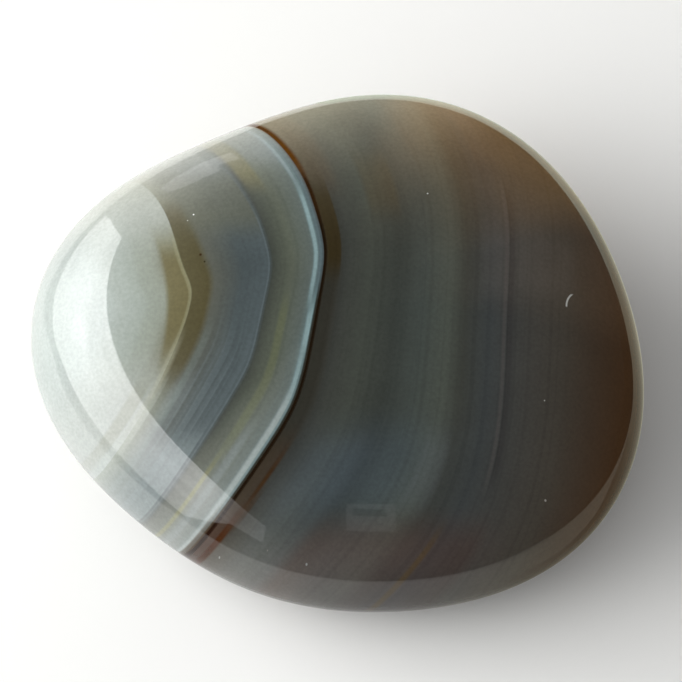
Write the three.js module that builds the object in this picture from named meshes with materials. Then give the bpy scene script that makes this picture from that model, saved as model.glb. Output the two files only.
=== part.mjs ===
// Tumbled agate: a palm stone worn round and polished, resting on a small flat underneath.
// Millimetres, +Z up. The origin is the middle of the footprint, at the height of the resting flat.

import * as THREE from 'three';
import { mergeVertices } from 'three/addons/utils/BufferGeometryUtils.js';

// Plan outline, seen from above: a mean radius with five slow waves worn into it.
// Each wave has a number of lobes, a height in mm and the bearing of one of its crests in degrees.
const meanRadius = 18.45;
const outlineWaves = [
  { lobes: 1, height: 0.74, bearing: -46 },
  { lobes: 2, height: 1.43, bearing: -7 },
  { lobes: 3, height: 0.77, bearing: -57 },
  { lobes: 4, height: 0.36, bearing: -18 },
  { lobes: 5, height: 0.13, bearing: 34 },
];

// Side profile: half thickness, how full the shoulders are, and how far the girth sits below middle.
const halfThickness = 7.0;
const shoulder = 0.04;
const girthDrop = 0.12;

// The crown and girth rise towards the back (mm per mm). The belly stays level.
const backRise = 0.12;

// Resting flat: its height above the lowest point of the round belly, and the soft edge around it.
const flatCut = 0.35;
const flatBlend = 0.15;

// Rows of triangles along each edge of the starting icosahedron, less one.
const detail = 15;

const stoneColour = '#57564d';
const stoneRoughness = 0.06;

// Radius of the plan outline on a bearing given in radians.
function outlineRadius(bearing) {
  let radius = meanRadius;
  for (const wave of outlineWaves) {
    const crest = THREE.MathUtils.degToRad(wave.bearing);
    radius += wave.height * Math.cos(wave.lobes * (bearing - crest));
  }
  return radius;
}

// Height above the cutting plane: unchanged well above it, exactly zero well below it.
function softFloor(height) {
  if (height >= flatBlend) {
    return height;
  }
  if (height <= -flatBlend) {
    return 0;
  }
  return (height + flatBlend) ** 2 / (4 * flatBlend);
}

// Moves a point of the unit sphere onto the worn surface of the stone.
function wearToPebble(point) {
  const bearing = Math.atan2(point.y, point.x);
  const outward = Math.hypot(point.x, point.y);
  const swell = 1 + shoulder * 4 * outward ** 2 * point.z ** 2;
  const reach = outlineRadius(bearing) * outward * swell;
  const lift = point.z * swell;
  const x = reach * Math.cos(bearing);
  const y = reach * Math.sin(bearing);
  const level = 1 - ((1 - lift) / 2) ** 3;
  const z = halfThickness * (lift - girthDrop * (1 - lift ** 2)) + backRise * y * level;
  const cutHeight = flatCut - halfThickness;
  point.set(x, y, softFloor(z - cutHeight));
}

// One closed skin: an icosahedron's sphere with its shared corners joined, then worn to shape.
function pebbleGeometry() {
  const sphere = new THREE.IcosahedronGeometry(1, detail);
  sphere.deleteAttribute('normal');
  sphere.deleteAttribute('uv');
  const geometry = mergeVertices(sphere, 1e-5);
  const corners = geometry.getAttribute('position');
  const point = new THREE.Vector3();
  for (let i = 0; i < corners.count; i += 1) {
    point.fromBufferAttribute(corners, i).normalize();
    wearToPebble(point);
    corners.setXYZ(i, point.x, point.y, point.z);
  }
  geometry.computeBoundingBox();
  const middle = geometry.boundingBox.getCenter(new THREE.Vector3());
  geometry.translate(-middle.x, -middle.y, 0);
  geometry.computeVertexNormals();
  return geometry;
}

const polishedAgate = new THREE.MeshStandardMaterial({
  color: stoneColour,
  roughness: stoneRoughness,
  metalness: 0,
});

const pebble = new THREE.Mesh(pebbleGeometry(), polishedAgate);
pebble.name = 'agate_pebble';

const stone = new THREE.Group();
stone.name = 'tumbled_agate';
stone.add(pebble);

export default stone;
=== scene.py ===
import math
import bpy
import bmesh
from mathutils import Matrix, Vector


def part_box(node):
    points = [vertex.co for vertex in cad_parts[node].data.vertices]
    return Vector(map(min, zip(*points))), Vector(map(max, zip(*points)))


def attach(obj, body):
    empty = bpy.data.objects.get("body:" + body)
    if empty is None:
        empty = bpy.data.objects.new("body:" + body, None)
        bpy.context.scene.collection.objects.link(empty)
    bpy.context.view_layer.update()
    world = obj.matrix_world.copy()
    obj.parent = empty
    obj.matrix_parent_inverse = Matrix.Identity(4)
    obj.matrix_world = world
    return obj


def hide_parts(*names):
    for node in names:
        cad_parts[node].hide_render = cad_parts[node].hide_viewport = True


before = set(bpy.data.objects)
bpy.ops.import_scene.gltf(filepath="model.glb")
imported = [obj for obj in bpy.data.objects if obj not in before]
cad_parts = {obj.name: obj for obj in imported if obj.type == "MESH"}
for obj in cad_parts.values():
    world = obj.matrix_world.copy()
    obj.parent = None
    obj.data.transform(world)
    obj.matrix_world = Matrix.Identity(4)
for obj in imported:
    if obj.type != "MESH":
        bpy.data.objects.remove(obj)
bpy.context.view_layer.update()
print("frame loaded")

mm = 0.001
scene = bpy.context.scene


def linearColour(code):
    # sRGB hex to linear RGBA
    parts = [int(code[i:i + 2], 16) / 255 for i in (1, 3, 5)]
    line = [p / 12.92 if p <= 0.04045 else ((p + 0.055) / 1.055) ** 2.4 for p in parts]
    return (*line, 1.0)


def addNode(tree, kind, inputs=(), output=None, **settings):
    # inputs go by place in a list, or by name; gives the output asked for, or else the node
    made = tree.nodes.new("ShaderNode" + kind)
    for name, value in settings.items():
        setattr(made, name, value)
    for name, value in inputs.items() if isinstance(inputs, dict) else enumerate(inputs):
        if isinstance(value, bpy.types.NodeSocket):
            tree.links.new(value, made.inputs[name])
        else:
            made.inputs[name].default_value = value
    return made if output is None else made.outputs[output]


def newMaterial(name):
    material = bpy.data.materials.new(name)
    material.use_nodes = True
    material.node_tree.nodes.clear()
    return material, material.node_tree


def coverWith(thing, material, tree, surface):
    addNode(tree, "OutputMaterial", {"Surface": surface})
    thing.data.materials.append(material)


def linkObject(name, mesh):
    thing = bpy.data.objects.new(name, mesh)
    scene.collection.objects.link(thing)
    return thing


# the pebble
pebble = {
    "meanRadius": 18.45,  # mm, seen from above
    # lobes, height in mm, bearing of a crest in degrees
    "waves": [(1, 0.74, -46), (2, 1.43, -7), (3, 0.77, -57), (4, 0.36, -18), (5, 0.13, 34)],
    "halfThickness": 7.0,  # mm
    "shoulder": 0.04,  # how full the shoulders are
    "girthDrop": 0.12,  # how far the girth sits below the middle
    "backRise": 0.12,  # mm of crown height per mm towards the back
    "flatCut": 0.35,  # mm above the lowest point of the round belly
    "flatBlend": 0.15,  # mm, soft edge of the resting flat
    "divisions": 7,  # of the starting icosphere
}


def outlineRadius(bearing):
    radius = pebble["meanRadius"]
    for lobes, height, crest in pebble["waves"]:
        radius += height * math.cos(lobes * (bearing - math.radians(crest)))
    return radius


def softFloor(height, blend):
    if height >= blend:
        return height
    if height <= -blend:
        return 0.0
    return (height + blend) ** 2 / (4 * blend)


def wornPoint(direction):
    bearing = math.atan2(direction.y, direction.x)
    outward = math.hypot(direction.x, direction.y)
    swell = 1 + pebble["shoulder"] * 4 * outward ** 2 * direction.z ** 2  # fullest halfway up
    reach = outlineRadius(bearing) * outward * swell
    lift = direction.z * swell
    y = reach * math.sin(bearing)
    level = 1 - ((1 - lift) / 2) ** 3  # the belly stays level as the crown rises
    z = pebble["halfThickness"] * (lift - pebble["girthDrop"] * (1 - lift ** 2))
    z += pebble["backRise"] * y * level
    z = softFloor(z - pebble["flatCut"] + pebble["halfThickness"], pebble["flatBlend"])
    return Vector((reach * math.cos(bearing), y, z))


def makePebble():
    mesh = bpy.data.meshes.new("agatePebble")
    shape = bmesh.new()
    bmesh.ops.create_icosphere(shape, subdivisions=pebble["divisions"], radius=1.0)
    for corner in shape.verts:
        corner.co = wornPoint(corner.co.normalized())
    low = Vector([min(v.co[i] for v in shape.verts) for i in range(3)])
    high = Vector([max(v.co[i] for v in shape.verts) for i in range(3)])
    cadLow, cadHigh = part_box("agate_pebble")
    size = [(cadHigh[i] - cadLow[i]) / (high[i] - low[i]) for i in range(3)]
    bmesh.ops.translate(shape, verts=shape.verts, vec=-low)
    bmesh.ops.scale(shape, verts=shape.verts, vec=size)
    bmesh.ops.translate(shape, verts=shape.verts, vec=cadLow)
    for face in shape.faces:
        face.smooth = True
    shape.to_mesh(mesh)
    shape.free()
    return linkObject("agatePebble", mesh)


stone = makePebble()
print("pebble made", len(stone.data.polygons))

# its banding: flat shells that lean one way and meet in soft bends
banding = {
    "centre": (0.28, 0.32, 6.65),  # mm, middle of the shells
    "dip": -20.7,  # degrees the shells lean
    "shells": [(11.65, 0.892, -0.14), (23.93, 0.798, -1.78), (-9.1, 0.978, 1.13), (-25.2, 0.869, -0.91)],
    "rounding": (0.5, 2.0),  # mm, of the bends in the milky shells and far out in the brown ones
    "roundingAt": (-3.5, 1.5),  # mm across, where those two are reached
    "swells": [(9.7, -11.9, 10.8, -2.01), (-12.08, 1.03, 4.19, 0.97)],  # x, y, radius, push in mm
    "seam": -2.90,  # mm across, where the milky shells end at a dark line
    "seamSoftness": 0.05,
    "innerTones": [  # milk, olive grey, grey, the thin pale line, olive, grey, blue grey
        (-13.0, "#909894"), (-11.0, "#7e857c"), (-9.1, "#767a6c"), (-9.0, "#666858"), (-8.2, "#4c4e46"),
        (-7.0, "#3f4748"), (-5.7, "#454e50"), (-5.5, "#3a3e38"), (-4.5, "#50554a"), (-3.5, "#525a56"),
        (-2.9, "#5a6e70"),
    ],
    "outerTones": [  # dark brown, then grey green in turn with brown grey, and warm brown at the far end
        (-2.9, "#2a2a24"), (-2.0, "#2d2c26"), (-1.6, "#363834"), (0.0, "#3e423c"), (1.5, "#363a36"),
        (3.0, "#424844"), (4.5, "#4a4f48"), (5.5, "#3d3f3a"), (7.0, "#404444"), (12.0, "#4f4a42"),
        (17.0, "#583f28"),
    ],
    # begin, end across, rise before, fall after (mm), colour, strength, front end, back end (mm along y);
    # an end of -40 or 40 lies past the stone, so the band runs on
    "bands": [
        (-9.03, -8.45, 0.05, 0.34, "#443e24", 0.95, -4.6, 7.6),
        (-9.62, -9.12, 0.50, 0.04, "#4c4020", 0.32, -3.6, 4.0),
        (-9.12, -9.07, 0.08, 0.06, "#8a8b70", 0.30, -2.4, 5.0),
        (-9.14, -9.02, 0.14, 0.22, "#90917c", 0.42, -6.5, -2.2),
        (-8.10, -8.00, 0.16, 0.16, "#5a645e", 0.40, -40, -1.5),
        (-8.20, -5.80, 0.50, 0.20, "#4e5042", 0.66, 5.2, 9.6),
        (-9.95, -9.50, 0.25, 0.18, "#77796a", 0.60, -8.2, -4.6),
        (-9.25, -8.80, 0.15, 0.12, "#90948a", 0.50, -8.2, -4.9),
        (-9.30, -5.90, 0.40, 0.10, "#9aa8a8", 0.28, -40, -8.4),
        (-8.30, -7.70, 0.25, 0.25, "#8a9aa0", 0.12, -8.4, -4.6),
        (-11.50, -10.95, 0.40, 0.30, "#a8b4b4", 0.07, -3.0, 5.5),
        (-7.40, -6.20, 0.40, 0.30, "#c0c4c0", 0.14, 10.2, 40),
        (-4.40, -3.30, 0.30, 0.20, "#a8b4c0", 0.12, 10.4, 40),
        (-4.30, -3.60, 0.30, 0.30, "#c8ccd0", 0.09, -40, -13.0),
        (-9.00, -8.30, 0.10, 0.50, "#9aa39a", 0.22, -9.0, -5.4),
        (-7.22, -7.15, 0.14, 0.20, "#58605f", 0.22, -40, -2.0),
        (-6.62, -6.52, 0.14, 0.14, "#566062", 0.30, -40, -3.5),
        (-6.04, -5.95, 0.14, 0.14, "#566062", 0.20, -40, -2.0),
        (-5.71, -5.68, 0.06, 0.04, "#5b6567", 0.40, -40, 6.0),
        (-5.30, -4.80, 0.25, 0.30, "#6a6234", 0.50, 8.5, 40),
        (-5.40, -4.95, 0.20, 0.15, "#484a3f", 0.50, -40, -8.5),
        (-4.62, -4.40, 0.20, 0.20, "#5a5f40", 0.40, -9.0, 0.0),
        (-4.62, -4.55, 0.14, 0.14, "#77722a", 0.50, -40, -9.8),
        (-4.15, -3.95, 0.20, 0.20, "#7c878a", 0.30, -40, -8.0),
        (-3.62, -3.50, 0.16, 0.12, "#525b57", 0.75, -40, -3.0),
        (-3.13, -3.04, 0.16, 0.08, "#7a9092", 0.92, -6.5, -3.6),
        (-3.10, -2.96, 0.18, 0.05, "#7a9092", 0.94, -3.2, -0.4),
        (-3.26, -3.18, 0.16, 0.10, "#7a9092", 0.88, 0.2, 7.8),
        (-3.19, -3.07, 0.20, 0.10, "#8b9593", 0.80, -40, -6.0),
        (-3.26, -3.22, 0.14, 0.10, "#86979c", 0.40, 8.5, 40),
        (-3.03, -2.82, 0.08, 0.06, "#4c585c", 0.72, 1.0, 40),
        (-2.50, -1.60, 0.25, 0.70, "#493b29", 0.35, 8.0, 40),
        (-2.60, -2.05, 0.20, 0.25, "#372c1f", 0.60, -40, -8.5),
        (-2.50, -1.86, 0.30, 0.10, "#2e250f", 0.80, 2.0, 8.2),
        (1.80, 8.50, 1.00, 1.00, "#45362f", 0.40, -40, -13.4),
        (7.00, 12.00, 1.00, 1.00, "#6e6a66", 0.13, 1.2, 5.6),
        (-0.50, 0.80, 1.00, 1.00, "#6a7a88", 0.07, -40, -9.0),
        (4.20, 5.20, 0.30, 0.30, "#7f8488", 0.07, -12.6, -8.6),
        (0.30, 1.60, 0.40, 0.40, "#4e4224", 0.24, 6.2, 10.4),
        (3.30, 4.40, 0.30, 0.30, "#4a4038", 0.15, 10.5, 40),
        (7.00, 9.30, 0.60, 0.40, "#a08058", 0.07, 10.5, 40),
        (6.50, 6.62, 0.18, 0.18, "#4f4020", 0.60, -40, -14.2),
        (7.92, 8.00, 0.16, 0.10, "#524f4d", 0.55, -11.0, 8.5),
        (8.15, 8.30, 0.10, 0.45, "#343232", 0.50, -11.0, 8.5),
    ],
    "endSoftness": 1.2,  # mm, of the bands' front and back ends
    "darkLines": [  # the same, but laid over the painted light of the rim
        (-2.74, -2.69, 0.08, 0.15, "#170c02", 0.96, -40, 9.3),
        (-2.76, -2.68, 0.10, 0.20, "#2f1b06", 0.60, 6.0, 9.3),
        (-2.76, -2.66, 0.10, 0.24, "#4a2b05", 0.97, 9.3, 40),
        (-2.03, -1.98, 0.15, 0.13, "#33200c", 0.80, -12.2, -9.6),
        (-1.84, -1.78, 0.15, 0.13, "#33200c", 0.80, -13.1, -12.0),
        (-2.62, -2.16, 0.10, 0.10, "#3a221c", 0.55, -40, -12.9),
        (-2.80, -2.66, 0.10, 0.12, "#22120a", 0.92, -40, -12.6),
        (-2.15, -1.98, 0.14, 0.16, "#3c1c02", 0.94, -40, -13.0),
        (-3.05, -2.85, 0.12, 0.12, "#45382a", 0.80, -40, -12.6),
    ],
    "hazeSoftness": (2.0, 1.8),  # mm across and along y
    # across from, to, front end, back end (mm), colour added, strength
    "hazes": [
        (-1.0, 5.0, -13.0, -8.0, "#2c4560", 0.16),
        (1.5, 10.5, -16.0, -14.0, "#6a4038", 0.12),
        (-2.0, 6.0, -40, -14.5, "#50545a", 0.20),
    ],
    # painted light, standing in for light that comes through the thin rim: bearing and half spread in
    # degrees, power towards the rim, strength, colour
    "paintedMilkLight": [
        (126, 40, 5.0, 1.06, "#b2b3aa"), (158, 34, 4.0, 0.20, "#b0b3ae"), (188, 36, 3.0, 0.16, "#aeb2b0"),
        (226, 45, 5.0, 0.29, "#aeb1ae"), (243, 20, 0.8, 0.12, "#aeb1ac"),
    ],
    "paintedAmberLight": [  # the same on the brown side, and the colour added
        (51, 32, 3.3, 0.28, "#ffc068"), (15, 22, 2.0, 0.045, "#ffd0a0"), (98, 50, 3.6, 0.29, "#fff4d4"),
        (243, 25, 8.0, 0.05, "#ffe8d0"),
    ],
    "paintedShade": [(318, 80, 2.0, 0.16, "#40302a"), (165, 34, 16.0, 0.24, "#8a8078")],  # painted shade on the darker sides
    "lensEdge": (-9.01, -9.07),  # mm across, outside and inside of the milky knot at the narrow end
    "lensCentre": (-21.1, 0.56, 9.0),  # mm, middle of the ball that its pale part fills
    "lensRadius": 10.7,
    "lensMiddle": 0.6,  # mm along y
    "lensEnds": "#929793",  # paler at its two ends
    "lensEndsFrom": (2.0, 9.0),  # mm from its middle, start and full
    "lensBack": (8.6, 3.0),  # mm along y, where the pale end stops, and its softness
    "crescentColour": "#625e41",  # olive, between the ball and the edge of the knot
    "crescentRise": (-0.05, 0.40),  # mm out from the ball
    "crescentSpan": (-3.4, 4.6, 1.8),  # mm along y, front, back and softness
    "fineLine": 0.45,  # mm, drawn coarser than the real lines, which are too fine to show
    "fineDark": (0.90, 0.90, 0.90, 1),  # multiplied in, everywhere but the two ends
    "fineDarkWhere": (0.45, 0.72),  # of the noise, start and full
    "fineDarkSpan": (-8.0, 12.0, 1.0),  # mm across, from, to and softness
    "finePale": ("#6a7678", 0.21),  # colour and strength, in the grey shells towards the front
    "finePaleWhere": (0.52, 0.38),
    "finePaleSpan": (-7.9, -5.85, 0.15),
    "finePaleFront": (1.0, -6.0),  # mm along y, start and full
    "grain": 0.22,  # mm, chalcedony's grain is finer and is drawn as coarse as it needs to show
    "cloud": 3.5,  # mm
    "cloudDepth": 0.05,
    "grainDepth": 0.07,
    "specksAbove": (5.0, 6.0),  # mm, specks are on the upper side only
    "strand": {  # a short curved fibre stuck to the polish, mm
        "bendCentre": (16.03, 0.66), "bendRadius": 1.26, "halfWidth": 0.075,
        "front": 0.64, "back": 1.56, "colour": "#d0d0ca", "strength": 0.85,
    },
    "specks": [  # x, y, radius in mm, colour, strength
        (-9.23, 6.43, 0.07, "#f0f0ee", 0.9), (-9.61, 6.02, 0.06, "#c8c8c0", 0.5),
        (5.86, 7.61, 0.07, "#c8ccc8", 0.8), (13.24, -5.76, 0.06, "#b8b8b0", 0.8),
        (13.29, -11.63, 0.09, "#b8b4ac", 0.7), (-8.73, 3.46, 0.12, "#2a1404", 0.8),
        (-8.46, 2.95, 0.09, "#1e1a0a", 0.8), (-1.91, -15.51, 0.09, "#9aa09e", 0.5),
        (-7.49, -14.56, 0.07, "#a0a4a2", 0.5), (-4.39, -14.67, 0.06, "#807c76", 0.4),
    ],
}

# chalcedony is quartz too fine-grained to see, polished by tumbling:
# glassy outside, cloudy and layered inside
stoneMaterial, tree = newMaterial("polishedChalcedony")


def softMask(value, *sides):
    # 0 to 1 over each side, from its start to its end, and all of them multiplied
    mask = None
    for start, end in sides:
        side = addNode(tree, "MapRange", {"Value": value, "From Min": start, "From Max": end}, 0,
                       interpolation_type="SMOOTHSTEP")
        mask = side if mask is None else addNode(tree, "Math", [mask, side], 0, operation="MULTIPLY")
    return mask


def between(value, low, high, soft):
    # an end past the stone gets no side, and no ends at all give no mask
    sides = []
    if low > -40:
        sides.append((low - soft, low + soft))
    if high < 40:
        sides.append((high + soft, high - soft))
    return softMask(value, *sides)


def paint(colour, over, *masks, blend="MIX"):
    # lays one colour over another, as strongly as its masks multiplied together
    strength, *others = [mask for mask in masks if mask is not None]
    for other in others:
        strength = addNode(tree, "Math", [strength, other], 0, operation="MULTIPLY")
    if isinstance(over, str):
        over = linearColour(over)
    return addNode(tree, "Mix", {"Factor": strength, 6: colour, 7: over}, 2,
                   data_type="RGBA", blend_type=blend)


def toneRamp(value, tones):
    low, high = tones[0][0], tones[-1][0]
    factor = addNode(tree, "MapRange", {"Value": value, "From Min": low, "From Max": high}, 0)
    ramp = addNode(tree, "ValToRGB", [factor])
    elements = ramp.color_ramp.elements
    elements[0].color, elements[1].color = linearColour(tones[0][1]), linearColour(tones[-1][1])
    for at, code in tones[1:-1]:
        elements.new((at - low) / (high - low)).color = linearColour(code)
    return ramp.outputs["Color"]


def layBands(colour, bands):
    for begin, end, rise, fall, code, strength, front, backEnd in bands:
        band = softMask(across, (begin - rise, begin), (end + fall, end))
        colour = paint(colour, code, band, strength, between(alongY, front, backEnd, banding["endSoftness"]))
    return colour


# how far across the shells each place lies, in mm
place = addNode(tree, "TexCoord", output="Object")
spot = addNode(tree, "VectorMath", [place, (1 / mm, 1 / mm, 1 / mm)], 0, operation="MULTIPLY")
spotAxes = addNode(tree, "SeparateXYZ", [spot])
alongY = spotAxes.outputs["Y"]
shellSpot = addNode(tree, "VectorMath", [spot, banding["centre"]], 0, operation="SUBTRACT")
flatSpot = addNode(tree, "VectorMath", [shellSpot, (1, 1, 0)], 0, operation="MULTIPLY")
dip = math.radians(banding["dip"])
reaches = []
for bearing, stretch, offset in banding["shells"]:
    turn = math.radians(bearing)
    facing = Vector((math.cos(turn) * math.cos(dip), math.sin(turn) * math.cos(dip), math.sin(dip)))
    reach = addNode(tree, "VectorMath", [shellSpot, stretch * facing], "Value", operation="DOT_PRODUCT")
    reaches.append(addNode(tree, "Math", [reach, offset], 0, operation="ADD"))
across = furthest = reaches[0]
for reach in reaches[1:]:
    furthest = addNode(tree, "Math", [furthest, reach], 0, operation="MAXIMUM")
(sharp, soft), (sharpAt, softAt) = banding["rounding"], banding["roundingAt"]
rounding = addNode(tree, "MapRange", {
    "Value": furthest, "From Min": sharpAt, "From Max": softAt, "To Min": sharp, "To Max": soft}, 0)
for reach in reaches[1:]:
    across = addNode(tree, "Math", [across, reach, rounding], 0, operation="SMOOTH_MAX")
for x, y, radius, push in banding["swells"]:
    away = addNode(tree, "VectorMath", [flatSpot, (x, y, 0)], "Value", operation="DISTANCE")
    fall = addNode(tree, "Math", [away, radius], 0, operation="DIVIDE")
    fall = addNode(tree, "Math", [fall, 2.0], 0, operation="POWER")
    fall = addNode(tree, "Math", [fall, -1.0], 0, operation="MULTIPLY")
    fall = addNode(tree, "Math", [fall], 0, operation="EXPONENT")
    across = addNode(tree, "Math", [fall, push, across], 0, operation="MULTIPLY_ADD")
seam, softness = banding["seam"], banding["seamSoftness"]
outer = softMask(across, (seam - softness, seam + softness))
inner = addNode(tree, "Math", [1.0, outer], 0, operation="SUBTRACT")

# the milky knot with its olive crescent
innerColour = toneRamp(across, banding["innerTones"])
inLens = softMask(across, banding["lensEdge"])
fromMiddle = addNode(tree, "Math", [alongY, banding["lensMiddle"]], 0, operation="SUBTRACT")
fromMiddle = addNode(tree, "Math", [fromMiddle], 0, operation="ABSOLUTE")
backStop, backSoft = banding["lensBack"]
innerColour = paint(innerColour, banding["lensEnds"], inLens, softMask(fromMiddle, banding["lensEndsFrom"]),
                    between(alongY, -40, backStop, backSoft))
fromBall = addNode(tree, "VectorMath", [spot, banding["lensCentre"]], "Value", operation="DISTANCE")
fromBall = addNode(tree, "Math", [fromBall, banding["lensRadius"]], 0, operation="SUBTRACT")
innerColour = paint(innerColour, banding["crescentColour"], inLens,
                    softMask(fromBall, banding["crescentRise"]), between(alongY, *banding["crescentSpan"]))

# slow tones first, then the bands laid over them
colour = paint(innerColour, toneRamp(across, banding["outerTones"]), outer)
colour = layBands(colour, banding["bands"])
softAcross, softAlong = banding["hazeSoftness"]
for begin, end, front, backEnd, code, strength in banding["hazes"]:
    colour = paint(colour, code, between(across, begin, end, softAcross),
                   between(alongY, front, backEnd, softAlong), strength, blend="ADD")

# lines too fine to place one by one
fine = addNode(tree, "TexNoise", {"W": across, "Scale": 1 / banding["fineLine"], "Detail": 2.0}, 0,
               noise_dimensions="1D")
colour = paint(colour, banding["fineDark"], softMask(fine, banding["fineDarkWhere"]),
               between(across, *banding["fineDarkSpan"]), blend="MULTIPLY")
paleCode, paleStrength = banding["finePale"]
colour = paint(colour, paleCode, softMask(fine, banding["finePaleWhere"]),
               between(across, *banding["finePaleSpan"]), softMask(alongY, banding["finePaleFront"]),
               paleStrength)

# how near the rim: 0 in the middle, 1 at the widest outline
flatAxes = addNode(tree, "SeparateXYZ", [flatSpot])
heading = addNode(tree, "Math", [flatAxes.outputs["Y"], flatAxes.outputs["X"]], 0, operation="ARCTAN2")
outline = pebble["meanRadius"]
for lobes, height, crest in pebble["waves"]:
    turned = addNode(tree, "Math", [heading, lobes, -lobes * math.radians(crest)], 0,
                     operation="MULTIPLY_ADD")
    wave = addNode(tree, "Math", [turned], 0, operation="COSINE")
    outline = addNode(tree, "Math", [wave, height, outline], 0, operation="MULTIPLY_ADD")
fromCentre = addNode(tree, "VectorMath", [flatSpot], "Value", operation="LENGTH")
nearRim = addNode(tree, "Math", [fromCentre, outline], 0, operation="DIVIDE")
flatHeading = addNode(tree, "VectorMath", [flatSpot], 0, operation="NORMALIZE")


def sideMask(bearing, spread, power):
    # full on one bearing of the rim, gone half a spread away from it and in the middle of the stone
    turn = math.radians(bearing)
    side = addNode(tree, "VectorMath", [flatHeading, (math.cos(turn), math.sin(turn), 0)], "Value",
                   operation="DOT_PRODUCT")
    side = softMask(side, (math.cos(math.radians(spread)), 1.0))
    rim = addNode(tree, "Math", [nearRim, power], 0, operation="POWER")
    return addNode(tree, "Math", [side, rim], 0, operation="MULTIPLY")


# painted light at the rim: milky on the inner shells, amber added on the brown ones
for bearing, spread, power, strength, code in banding["paintedMilkLight"]:
    colour = paint(colour, code, sideMask(bearing, spread, power), strength, inner)
for bearing, spread, power, strength, code in banding["paintedAmberLight"]:
    colour = paint(colour, code, sideMask(bearing, spread, power), strength, outer, blend="ADD")
colour = layBands(colour, banding["darkLines"])
# painted shade: the darker sides of the rim multiplied darker
for bearing, spread, power, strength, code in banding["paintedShade"]:
    colour = paint(colour, code, sideMask(bearing, spread, power), strength, blend="MULTIPLY")

# cloudiness and grain
for size, depth in ((banding["cloud"], banding["cloudDepth"]), (banding["grain"], banding["grainDepth"])):
    mottle = addNode(tree, "TexNoise", {"Vector": spot, "Scale": 1 / size, "Detail": 2.0}, 0)
    mottle = addNode(tree, "MapRange", {
        "Value": mottle, "From Min": 0.3, "From Max": 0.7, "To Min": 1 - depth, "To Max": 1 + depth}, 0)
    colour = addNode(tree, "VectorMath", [colour, mottle], 0, operation="MULTIPLY")

# chips and specks on the upper side, and the fibre
upper = softMask(spotAxes.outputs["Z"], banding["specksAbove"])
middleX, middleY, middleZ = banding["centre"]
for x, y, radius, code, strength in banding["specks"]:
    away = addNode(tree, "VectorMath", [flatSpot, (x - middleX, y - middleY, 0)], "Value",
                   operation="DISTANCE")
    colour = paint(colour, code, softMask(away, (radius, 0.4 * radius)), upper, strength)
strand = banding["strand"]
bendX, bendY = strand["bendCentre"][0] - middleX, strand["bendCentre"][1] - middleY
halfWidth = strand["halfWidth"]
away = addNode(tree, "VectorMath", [flatSpot, (bendX, bendY, 0)], "Value", operation="DISTANCE")
away = addNode(tree, "Math", [away, strand["bendRadius"]], 0, operation="SUBTRACT")
away = addNode(tree, "Math", [away], 0, operation="ABSOLUTE")
colour = paint(colour, strand["colour"], softMask(away, (halfWidth, 0.4 * halfWidth)), upper,
               between(alongY, strand["front"], strand["back"], halfWidth),
               softMask(flatAxes.outputs["X"], (bendX, bendX - halfWidth)), strand["strength"])

shader = addNode(tree, "BsdfPrincipled", {"Base Color": colour, "Roughness": 0.035, "IOR": 1.54}, 0)
coverWith(stone, stoneMaterial, tree, shader)
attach(stone, "root")
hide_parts("agate_pebble")
print("agate coloured")

# the floor and the window
studio = {
    "floorColour": "#e6e6e4",
    "floorSize": 3.0,  # m
    "windowDistance": 0.30,  # m
    "windowBearing": -170,  # degrees
    "windowOutline": [  # along and up, in window distances; something dark hides its foot unevenly
        (-1.38, 0.58), (-1.0, 0.55), (-0.70, 0.10), (-0.45, 0.17), (-0.2, 0.20), (0.1, 0.19), (0.4, 0.08),
        (0.7, 0.0), (1.88, 0.0), (1.80, 0.3), (1.60, 0.64), (1.40, 1.0), (-1.38, 1.0),
    ],
    "windowPower": 9.15,  # as it lights things
    "windowEnd": (-0.7, 0.1, 0.25),  # along from and to, and the share of its light left at the dim end
    "windowGlare": 6.9,  # as it is mirrored
    "alongFades": [(-0.38, 0.05, 0.62), (-1.06, -0.66, 0.18), (1.3, 0.45, 0.66)],  # from, to, share left
    "heightFade": (0.05, 0.70, 0.50),
    "streakTurn": (0.5, 0, 0.17),  # radians
    "streakScale": (10, 10, 60),  # per m
    "streakLevels": (0.86, 1.12),  # share of light in a streak and between two
    "brightSpot": (0.30, 0.56, 0.055, 1.35),  # along, up, radius in m, how much brighter
}


def flatCard(name, corners):
    mesh = bpy.data.meshes.new(name)
    shape = bmesh.new()
    shape.faces.new([shape.verts.new(c) for c in corners])
    shape.to_mesh(mesh)
    shape.free()
    card = linkObject(name, mesh)
    return card


half = studio["floorSize"] / 2
floor = flatCard("floor", [(-half, -half, 0), (half, -half, 0), (half, half, 0), (-half, half, 0)])
# uncoated paper: no shine of its own
floorMaterial, floorTree = newMaterial("mattPaper")
floorShader = addNode(floorTree, "BsdfPrincipled", {
    "Base Color": linearColour(studio["floorColour"]), "Roughness": 0.9, "Specular IOR Level": 0.1}, 0)
coverWith(floor, floorMaterial, floorTree, floorShader)

outwards = math.radians(studio["windowBearing"])
out = Vector((math.cos(outwards), math.sin(outwards), 0))
back = Vector((out.y, -out.x, 0))
reachOut = studio["windowDistance"]


def windowPoint(along, height):
    return reachOut * (out + along * back) + Vector((0, 0, reachOut * height))


window = flatCard("window", [windowPoint(*corner) for corner in studio["windowOutline"]])
# an overcast sky behind glass: even light, dimmer to one end
windowMaterial, windowTree = newMaterial("daylight")


def fadeLight(light, value, start, end, least, most=1.0):
    # scales a light from least at the start to most at the end
    fade = addNode(windowTree, "MapRange", {
        "Value": value, "From Min": start, "From Max": end, "To Min": least, "To Max": most,
    }, 0, interpolation_type="SMOOTHSTEP")
    return addNode(windowTree, "Math", [light, fade], 0, operation="MULTIPLY")


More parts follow.
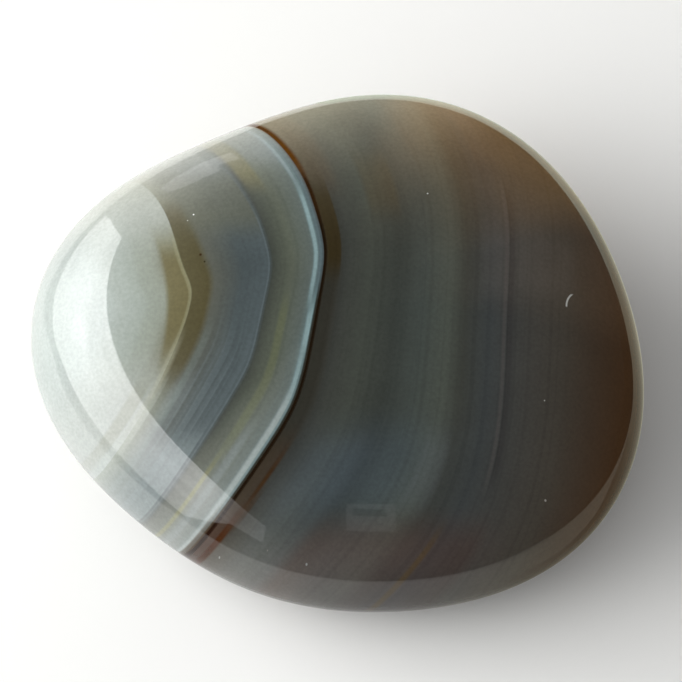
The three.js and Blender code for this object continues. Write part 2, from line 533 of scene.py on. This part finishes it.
windowPlace = addNode(windowTree, "TexCoord", output="Object")
windowAlong = addNode(windowTree, "VectorMath", [windowPlace, back / reachOut], "Value",
                      operation="DOT_PRODUCT")
windowUp = addNode(windowTree, "VectorMath", [windowPlace, (0, 0, 1 / reachOut)], "Value",
                   operation="DOT_PRODUCT")
shed = fadeLight(studio["windowPower"], windowAlong, *studio["windowEnd"])
# in the polish it is dimmer, streaked like thin curtain, and fades at both ends
seen = studio["windowGlare"]
for fade in studio["alongFades"]:
    seen = fadeLight(seen, windowAlong, *fade)
seen = fadeLight(seen, windowUp, *studio["heightFade"])
streaks = addNode(windowTree, "Mapping", {
    "Vector": windowPlace, "Rotation": studio["streakTurn"], "Scale": studio["streakScale"]}, 0)
streaks = addNode(windowTree, "TexNoise", {"Vector": streaks, "Scale": 1.0, "Detail": 3.0}, 0)
seen = fadeLight(seen, streaks, 0.3, 0.7, *studio["streakLevels"])
spotAlong, spotUp, spotRadius, spotGain = studio["brightSpot"]
spotAway = addNode(windowTree, "VectorMath", [windowPlace, windowPoint(spotAlong, spotUp)], "Value",
                   operation="DISTANCE")
seen = fadeLight(seen, spotAway, spotRadius, 0.0, 1.0, spotGain)
mirrored = addNode(windowTree, "LightPath", output="Is Glossy Ray")
power = addNode(windowTree, "Mix", {"Factor": mirrored, 2: shed, 3: seen}, 0)
glow = addNode(windowTree, "Emission", {"Color": (1, 1, 1, 1), "Strength": power}, 0)
coverWith(window, windowMaterial, windowTree, glow)
window.visible_camera = False
print("floor and window made")


def onlyInPolish(card):
    card.visible_camera = False
    card.visible_diffuse = False
    card.visible_shadow = False


# a second pane and a small lamp frame: bearing in degrees, strength, corners along and up in window distances
glints = {
    "farPane": (120, 1.2, [
        (0.03, 0.26), (0.03, 0.41), (0.104, 0.445), (0.170, 0.43), (0.178, 0.32),
        (0.206, 0.37), (0.206, 0.16), (0.169, 0.118), (0.081, 0.19),
    ]),
    "lampLeft": (-90, 0.34, [(0.074, 0.82), (0.074, 1.28), (0.045, 1.20), (0.045, 1.07)]),
    "lampRight": (-90, 0.34, [(-0.10, 1.07), (-0.10, 1.20), (-0.15, 1.30), (-0.121, 0.83)]),
    "lampTop": (-90, 0.34, [(0.074, 1.28), (-0.15, 1.30), (-0.10, 1.20), (0.045, 1.20)]),
    "lampBase": (-90, 0.34, [(0.074, 0.82), (0.045, 1.07), (-0.10, 1.07), (-0.121, 0.83)]),
}
for name, (bearing, strength, corners) in glints.items():
    turn = math.radians(bearing)
    way = Vector((math.cos(turn), math.sin(turn), 0))
    beside = Vector((way.y, -way.x, 0))
    glint = flatCard(name, [reachOut * (way + along * beside + Vector((0, 0, up))) for along, up in corners])
    glintMaterial, glintTree = newMaterial(name + "Light")
    glintGlow = addNode(glintTree, "Emission", {"Color": (1, 1, 1, 1), "Strength": strength}, 0)
    coverWith(glint, glintMaterial, glintTree, glintGlow)
    onlyInPolish(glint)

# sheets on the floor round the stone, seen only in its polish: painted shade and reflection in its rim;
# bearings in degrees, distances in m
# a black sheet seen only in the polish: painted shade in the stone's reflection
shadeInPolish = {
    "nearEdge": [
        (-45, 0.3), (-36, 0.13), (-28, 0.08), (-20, 0.058), (-10, 0.046), (0, 0.041),
        (10, 0.042), (30, 0.046), (50, 0.046), (75, 0.046), (90, 0.041), (98, 0.038),
        (106, 0.038), (115, 0.052), (122, 0.066), (130, 0.075), (137, 0.068), (144, 0.062),
        (150, 0.054), (156, 0.046), (161, 0.042), (166, 0.050), (170, 0.080), (174, 0.25),
    ],
    "farEdge": 0.9,
    "height": 0.0002,
    "colour": (0.02, 0.02, 0.02, 1),
}
# a brownish sheet seen only in the polish: painted shade in the mirrored floor
shadePaper = {
    "bearings": range(-80, 111, 10),
    "nearEdge": 0.012,
    "farEdge": 0.30,
    "height": 0.0001,
    "colour": "#ccc9b8",
    "darkestTowards": -10,
    "blend": (0.36, 0.78),  # cosines from that bearing, where it starts and is full
}
# a glowing card seen only in the polish: painted reflection of pale floor along the rim
nearCard = {
    "nearEdge": 0.012,
    "farEdge": [
        (-62, 0.025), (-50, 0.026), (-40, 0.027), (-30, 0.030), (-20, 0.038), (-10, 0.042),
        (0, 0.039), (15, 0.044), (30, 0.047), (45, 0.047), (60, 0.047), (75, 0.047),
        (85, 0.041), (95, 0.037),
    ],
    "height": 0.00026,
    "frontColour": (0.62, 0.62, 0.48, 1),
    "backColour": (0.84, 0.99, 0.86, 1),
    "colourBlend": (0.016, 0.030),  # m along y
    "dimBlend": (-0.020, 0.004, 0.10),  # m along y, and the share left at the front
    "fade": (-0.88, -0.50),  # sines of its bearings, where it starts to show and is whole
}


def floorCard(name, nearEdge, farEdge, height):
    corners = []
    for edge in (nearEdge, reversed(farEdge)):
        for bearing, far in edge:
            turn = math.radians(bearing)
            corners.append(Vector((far * math.cos(turn), far * math.sin(turn), height)))
    card = flatCard(name, corners)
    onlyInPolish(card)
    return card


shadeInPolishFar = [(bearing, shadeInPolish["farEdge"]) for bearing, near in shadeInPolish["nearEdge"]]
shadeInPolishCard = floorCard("shadeInPolish", shadeInPolish["nearEdge"], shadeInPolishFar, shadeInPolish["height"])
# a sheet as black as velvet, seen only in the polish: painted shade in the stone's reflection, the dark
# behind everything on that side
shadeInPolishMaterial, shadeInPolishTree = newMaterial("shadeInPolishSheet")
coverWith(shadeInPolishCard, shadeInPolishMaterial, shadeInPolishTree,
          addNode(shadeInPolishTree, "BsdfDiffuse", {"Color": shadeInPolish["colour"]}, 0))

shadeNear = [(bearing, shadePaper["nearEdge"]) for bearing in shadePaper["bearings"]]
shadeFar = [(bearing, shadePaper["farEdge"]) for bearing in shadePaper["bearings"]]
shadeCard = floorCard("shadePaper", shadeNear, shadeFar, shadePaper["height"])
# a matt brownish grey sheet seen only in the polish, blended into the floor at its sides: painted shade in
# the stone's reflection of the floor
shadeMaterial, shadeTree = newMaterial("shadeInPolishPaper")
turn = math.radians(shadePaper["darkestTowards"])
shadePlace = addNode(shadeTree, "TexCoord", output="Object")
shadeWay = addNode(shadeTree, "VectorMath", [shadePlace], 0, operation="NORMALIZE")
shadeSide = addNode(shadeTree, "VectorMath", [shadeWay, (math.cos(turn), math.sin(turn), 0)], "Value",
                    operation="DOT_PRODUCT")
blendFrom, blendTo = shadePaper["blend"]
shadeBlend = addNode(shadeTree, "MapRange", {
    "Value": shadeSide, "From Min": blendFrom, "From Max": blendTo}, 0)
shadeColour = addNode(shadeTree, "Mix", {
    "Factor": shadeBlend, 6: linearColour(studio["floorColour"]), 7: linearColour(shadePaper["colour"]),
}, 2, data_type="RGBA")
coverWith(shadeCard, shadeMaterial, shadeTree, addNode(shadeTree, "BsdfDiffuse", {"Color": shadeColour}, 0))

cardNear = [(bearing, nearCard["nearEdge"]) for bearing, far in nearCard["farEdge"]]
rimReflectionCard = floorCard("nearCard", cardNear, nearCard["farEdge"], nearCard["height"])
# a glowing card seen only in the polish, a painted reflection along the rim: warmer to the front, where it
# also dims and fades out
cardMaterial, cardTree = newMaterial("rimReflectionCard")
cardPlace = addNode(cardTree, "TexCoord", output="Object")
cardBack = addNode(cardTree, "SeparateXYZ", [cardPlace], "Y")
blendFrom, blendTo = nearCard["colourBlend"]
cardBlend = addNode(cardTree, "MapRange", {"Value": cardBack, "From Min": blendFrom, "From Max": blendTo}, 0)
cardColour = addNode(cardTree, "Mix", {
    "Factor": cardBlend, 6: nearCard["frontColour"], 7: nearCard["backColour"]}, 2, data_type="RGBA")
dimFrom, dimTo, dimLeast = nearCard["dimBlend"]
cardStrength = addNode(cardTree, "MapRange", {
    "Value": cardBack, "From Min": dimFrom, "From Max": dimTo, "To Min": dimLeast}, 0)
cardGlow = addNode(cardTree, "Emission", {"Color": cardColour, "Strength": cardStrength}, 0)
cardWay = addNode(cardTree, "VectorMath", [cardPlace], 0, operation="NORMALIZE")
fadeFrom, fadeTo = nearCard["fade"]
cardFade = addNode(cardTree, "MapRange", {
    "Value": addNode(cardTree, "SeparateXYZ", [cardWay], "Y"), "From Min": fadeFrom, "From Max": fadeTo}, 0)
cardClear = addNode(cardTree, "BsdfTransparent", output=0)
cardSurface = addNode(cardTree, "MixShader", [cardFade, cardClear, cardGlow], 0)
coverWith(rimReflectionCard, cardMaterial, cardTree, cardSurface)
print("things in the polish made")

# the room itself: dark in the polish, a soft fill on the stone, pale behind it
room = {"mirrored": 0.03, "fill": 0.40, "behind": 0.9}
world = bpy.data.worlds.new("room")
world.use_nodes = True
worldTree = world.node_tree
worldTree.nodes.clear()
rays = addNode(worldTree, "LightPath")
walls = {}
for name, level in room.items():
    walls[name] = addNode(worldTree, "Background", {"Color": (level, level, level, 1)}, 0)
lit = addNode(worldTree, "MixShader", [rays.outputs["Is Glossy Ray"], walls["fill"], walls["mirrored"]], 0)
allRays = addNode(worldTree, "MixShader", [rays.outputs["Is Camera Ray"], lit, walls["behind"]], 0)
addNode(worldTree, "OutputWorld", {"Surface": allRays})
scene.world = world
scene.view_settings.view_transform = "Standard"

view = {"elevation": 66, "distance": 0.25, "focal": 201.9, "sensor": 36, "aim": (0.28, 0.32, 6.65)}
camera = linkObject("camera", bpy.data.cameras.new("camera"))
rise = math.radians(view["elevation"])
camera.location = mm * Vector(view["aim"]) + view["distance"] * Vector((0, -math.cos(rise), math.sin(rise)))
camera.rotation_euler = (math.pi / 2 - rise, 0, 0)
camera.data.lens = view["focal"]
camera.data.sensor_width = view["sensor"]
camera.data.clip_start = 0.01
camera.data.clip_end = 10
scene.camera = camera
print("studio made")
